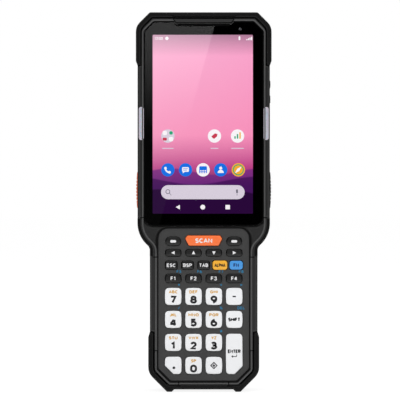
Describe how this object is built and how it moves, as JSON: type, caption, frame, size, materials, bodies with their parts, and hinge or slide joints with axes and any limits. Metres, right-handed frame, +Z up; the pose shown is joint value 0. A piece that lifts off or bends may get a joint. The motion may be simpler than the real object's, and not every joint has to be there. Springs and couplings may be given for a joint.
{
  "type": "portable barcode data terminal",
  "caption": "Rugged one-handed mobile computer: slate head with a touch display on a waisted keypad grip, side scan triggers, swing-out battery with a slide latch, rubber end bumpers.",
  "frame": {"origin": "middle of the base, where the terminal stands upright on the two lobes of its lower bumper", "axes": "+Z up along the length, display and keypad face -Y, +X to the right as seen from the front"},
  "size_m": [0.076, 0.03, 0.2127],
  "materials": {
    "housing": "fine textured black plastic",
    "bumper": "matte black elastomer",
    "glass": "black printed cover glass, polished",
    "display": "lit panel",
    "mesh": "black woven mesh",
    "lens": "coated lens",
    "light_guide": "milky clear plastic",
    "keypad_plate": "fine textured plastic",
    "silicone": "silicone",
    "board": "solder mask",
    "steel": "plain steel",
    "scan_window": "dark red window",
    "engine": "moulded black plastic",
    "battery": "fine textured black plastic",
    "gold": "gold plated",
    "connector": "moulded black plastic with contact blades",
    "dock": "plated pads in a moulded block",
    "orange": "coloured plastic",
    "side_key": "satin plastic",
    "key_white": "hard coated white key",
    "key_dark": "hard coated dark key",
    "key_orange": "hard coated orange key",
    "key_yellow": "hard coated yellow key",
    "key_blue": "hard coated blue key"
  },
  "bodies": {
    "housing": {"front_housing": "housing", "rear_housing": "housing", "top_bumper": "bumper", "bottom_bumper": "bumper", "cover_glass": "glass", "display_panel": "display", "receiver_mesh": "mesh", "front_camera": "lens", "light_guides": "light_guide", "keypad_plate": "keypad_plate", "keypad_membrane": "silicone", "keypad_board": "board", "key_domes": "steel", "main_board": "board", "scan_window": "scan_window", "scan_engine": "engine", "rear_camera": "lens", "speaker": "engine", "bay_connector": "connector", "dock_contacts": "dock", "housing_screws": "steel", "accessory_inserts": "gold"},
    "battery": {"battery_pack": "battery", "battery_contacts": "gold"},
    "latch": {"battery_latch": "orange", "latch_spring": "steel"},
    "rocker": {"volume_rocker": "side_key"},
    "left_trigger": {"trigger_left": "orange"},
    "right_trigger": {"trigger_right": "side_key"},
    "key_soft_left": {"key_soft_left": "key_dark"},
    "key_scan": {"key_scan": "key_orange"},
    "key_soft_right": {"key_soft_right": "key_dark"},
    "key_left": {"key_left": "key_dark"},
    "key_up": {"key_up": "key_dark"},
    "key_down": {"key_down": "key_dark"},
    "key_right": {"key_right": "key_dark"},
    "key_esc": {"key_esc": "key_dark"},
    "key_bsp": {"key_bsp": "key_dark"},
    "key_tab": {"key_tab": "key_dark"},
    "key_yellow": {"key_yellow": "key_yellow"},
    "key_blue": {"key_blue": "key_blue"},
    "key_f1": {"key_f1": "key_dark"},
    "key_f2": {"key_f2": "key_dark"},
    "key_f3": {"key_f3": "key_dark"},
    "key_f4": {"key_f4": "key_dark"},
    "key_num_7": {"key_num_7": "key_white"},
    "key_num_8": {"key_num_8": "key_white"},
    "key_num_9": {"key_num_9": "key_white"},
    "key_dash": {"key_dash": "key_white"},
    "key_num_4": {"key_num_4": "key_white"},
    "key_num_5": {"key_num_5": "key_white"},
    "key_num_6": {"key_num_6": "key_white"},
    "key_shift": {"key_shift": "key_white"},
    "key_num_1": {"key_num_1": "key_white"},
    "key_num_2": {"key_num_2": "key_white"},
    "key_num_3": {"key_num_3": "key_white"},
    "key_dot": {"key_dot": "key_white"},
    "key_num_0": {"key_num_0": "key_white"},
    "key_menu": {"key_menu": "key_white"},
    "key_enter": {"key_enter": "key_white"}
  },
  "joints": [
    {"name": "battery_swing", "type": "hinge", "parent": "housing", "child": "battery", "pos_m": [0, 0.0115, 0.0179], "axis": [-1, 0, 0], "range_deg": [0, 20]},
    {"name": "battery_unlatch", "type": "slide", "parent": "housing", "child": "latch", "axis": [0, 0, 1], "range_m": [0, 0.003], "stiffness_N_per_m": 200, "springref_m": -0.002, "deforming": ["latch_spring"]},
    {"name": "edge_rocker_tilt", "type": "hinge", "parent": "housing", "child": "rocker", "pos_m": [0.0362, -0.004, 0.1685], "axis": [0, 1, 0], "range_deg": [-4, 4], "stiffness_Nm_per_rad": 0.05},
    {"name": "grip_trigger_left", "type": "slide", "parent": "housing", "child": "left_trigger", "axis": [1, 0, 0], "range_m": [0, 0.0008], "stiffness_N_per_m": 1500, "springref_m": -0.0003},
    {"name": "grip_trigger_right", "type": "slide", "parent": "housing", "child": "right_trigger", "axis": [-1, 0, 0], "range_m": [0, 0.0008], "stiffness_N_per_m": 1500, "springref_m": -0.0003},
    {"name": "key_soft_left", "type": "slide", "parent": "housing", "child": "key_soft_left", "axis": [0, 1, 0], "range_m": [0, 0.0008], "stiffness_N_per_m": 1000, "springref_m": -0.0003},
    {"name": "key_scan", "type": "slide", "parent": "housing", "child": "key_scan", "axis": [0, 1, 0], "range_m": [0, 0.0008], "stiffness_N_per_m": 1000, "springref_m": -0.0003},
    {"name": "key_soft_right", "type": "slide", "parent": "housing", "child": "key_soft_right", "axis": [0, 1, 0], "range_m": [0, 0.0008], "stiffness_N_per_m": 1000, "springref_m": -0.0003},
    {"name": "key_left", "type": "slide", "parent": "housing", "child": "key_left", "axis": [0, 1, 0], "range_m": [0, 0.0008], "stiffness_N_per_m": 1000, "springref_m": -0.0003},
    {"name": "key_up", "type": "slide", "parent": "housing", "child": "key_up", "axis": [0, 1, 0], "range_m": [0, 0.0008], "stiffness_N_per_m": 1000, "springref_m": -0.0003},
    {"name": "key_down", "type": "slide", "parent": "housing", "child": "key_down", "axis": [0, 1, 0], "range_m": [0, 0.0008], "stiffness_N_per_m": 1000, "springref_m": -0.0003},
    {"name": "key_right", "type": "slide", "parent": "housing", "child": "key_right", "axis": [0, 1, 0], "range_m": [0, 0.0008], "stiffness_N_per_m": 1000, "springref_m": -0.0003},
    {"name": "key_esc", "type": "slide", "parent": "housing", "child": "key_esc", "axis": [0, 1, 0], "range_m": [0, 0.0008], "stiffness_N_per_m": 1000, "springref_m": -0.0003},
    {"name": "key_bsp", "type": "slide", "parent": "housing", "child": "key_bsp", "axis": [0, 1, 0], "range_m": [0, 0.0008], "stiffness_N_per_m": 1000, "springref_m": -0.0003},
    {"name": "key_tab", "type": "slide", "parent": "housing", "child": "key_tab", "axis": [0, 1, 0], "range_m": [0, 0.0008], "stiffness_N_per_m": 1000, "springref_m": -0.0003},
    {"name": "key_yellow", "type": "slide", "parent": "housing", "child": "key_yellow", "axis": [0, 1, 0], "range_m": [0, 0.0008], "stiffness_N_per_m": 1000, "springref_m": -0.0003},
    {"name": "key_blue", "type": "slide", "parent": "housing", "child": "key_blue", "axis": [0, 1, 0], "range_m": [0, 0.0008], "stiffness_N_per_m": 1000, "springref_m": -0.0003},
    {"name": "key_f1", "type": "slide", "parent": "housing", "child": "key_f1", "axis": [0, 1, 0], "range_m": [0, 0.0008], "stiffness_N_per_m": 1000, "springref_m": -0.0003},
    {"name": "key_f2", "type": "slide", "parent": "housing", "child": "key_f2", "axis": [0, 1, 0], "range_m": [0, 0.0008], "stiffness_N_per_m": 1000, "springref_m": -0.0003},
    {"name": "key_f3", "type": "slide", "parent": "housing", "child": "key_f3", "axis": [0, 1, 0], "range_m": [0, 0.0008], "stiffness_N_per_m": 1000, "springref_m": -0.0003},
    {"name": "key_f4", "type": "slide", "parent": "housing", "child": "key_f4", "axis": [0, 1, 0], "range_m": [0, 0.0008], "stiffness_N_per_m": 1000, "springref_m": -0.0003},
    {"name": "key_num_7", "type": "slide", "parent": "housing", "child": "key_num_7", "axis": [0, 1, 0], "range_m": [0, 0.0008], "stiffness_N_per_m": 1000, "springref_m": -0.0003},
    {"name": "key_num_8", "type": "slide", "parent": "housing", "child": "key_num_8", "axis": [0, 1, 0], "range_m": [0, 0.0008], "stiffness_N_per_m": 1000, "springref_m": -0.0003},
    {"name": "key_num_9", "type": "slide", "parent": "housing", "child": "key_num_9", "axis": [0, 1, 0], "range_m": [0, 0.0008], "stiffness_N_per_m": 1000, "springref_m": -0.0003},
    {"name": "key_dash", "type": "slide", "parent": "housing", "child": "key_dash", "axis": [0, 1, 0], "range_m": [0, 0.0008], "stiffness_N_per_m": 1000, "springref_m": -0.0003},
    {"name": "key_num_4", "type": "slide", "parent": "housing", "child": "key_num_4", "axis": [0, 1, 0], "range_m": [0, 0.0008], "stiffness_N_per_m": 1000, "springref_m": -0.0003},
    {"name": "key_num_5", "type": "slide", "parent": "housing", "child": "key_num_5", "axis": [0, 1, 0], "range_m": [0, 0.0008], "stiffness_N_per_m": 1000, "springref_m": -0.0003},
    {"name": "key_num_6", "type": "slide", "parent": "housing", "child": "key_num_6", "axis": [0, 1, 0], "range_m": [0, 0.0008], "stiffness_N_per_m": 1000, "springref_m": -0.0003},
    {"name": "key_shift", "type": "slide", "parent": "housing", "child": "key_shift", "axis": [0, 1, 0], "range_m": [0, 0.0008], "stiffness_N_per_m": 1000, "springref_m": -0.0003},
    {"name": "key_num_1", "type": "slide", "parent": "housing", "child": "key_num_1", "axis": [0, 1, 0], "range_m": [0, 0.0008], "stiffness_N_per_m": 1000, "springref_m": -0.0003},
    {"name": "key_num_2", "type": "slide", "parent": "housing", "child": "key_num_2", "axis": [0, 1, 0], "range_m": [0, 0.0008], "stiffness_N_per_m": 1000, "springref_m": -0.0003},
    {"name": "key_num_3", "type": "slide", "parent": "housing", "child": "key_num_3", "axis": [0, 1, 0], "range_m": [0, 0.0008], "stiffness_N_per_m": 1000, "springref_m": -0.0003},
    {"name": "key_dot", "type": "slide", "parent": "housing", "child": "key_dot", "axis": [0, 1, 0], "range_m": [0, 0.0008], "stiffness_N_per_m": 1000, "springref_m": -0.0003},
    {"name": "key_num_0", "type": "slide", "parent": "housing", "child": "key_num_0", "axis": [0, 1, 0], "range_m": [0, 0.0008], "stiffness_N_per_m": 1000, "springref_m": -0.0003},
    {"name": "key_menu", "type": "slide", "parent": "housing", "child": "key_menu", "axis": [0, 1, 0], "range_m": [0, 0.0008], "stiffness_N_per_m": 1000, "springref_m": -0.0003},
    {"name": "key_enter", "type": "slide", "parent": "housing", "child": "key_enter", "axis": [0, 1, 0], "range_m": [0, 0.0008], "stiffness_N_per_m": 1000, "springref_m": -0.0003}
  ]
}
